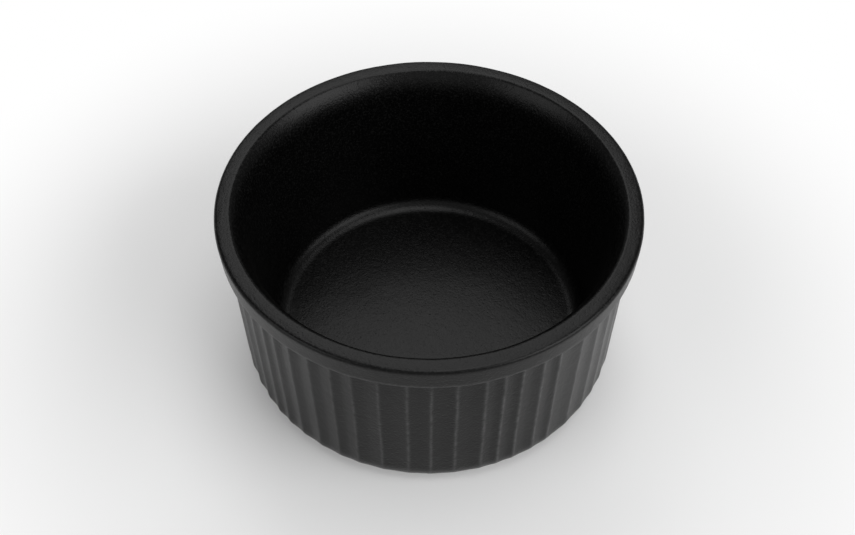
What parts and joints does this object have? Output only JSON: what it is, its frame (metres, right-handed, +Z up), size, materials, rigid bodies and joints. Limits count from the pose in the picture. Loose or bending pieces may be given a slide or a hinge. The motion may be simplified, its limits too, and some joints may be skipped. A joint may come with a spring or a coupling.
{
  "type": "ramekin",
  "caption": "Round straight-sided baking dish in matt black glaze: uneven hollow flutes down the wall, a plain band under a flat rim, and an open bowl.",
  "frame": {"origin": "centre of the foot ring's flat face, on the dish's axis", "axes": "+Z up along the dish's axis, out of the bowl; -Y is the front, from which the uneven flutes are counted"},
  "size_m": [0.09, 0.09, 0.0445],
  "materials": {
    "matt_black_glaze": "matt black glaze with a fine pebbled surface, bare clay on the foot ring"
  },
  "bodies": {
    "root": {"ramekin_body": "matt_black_glaze"}
  },
  "joints": []
}
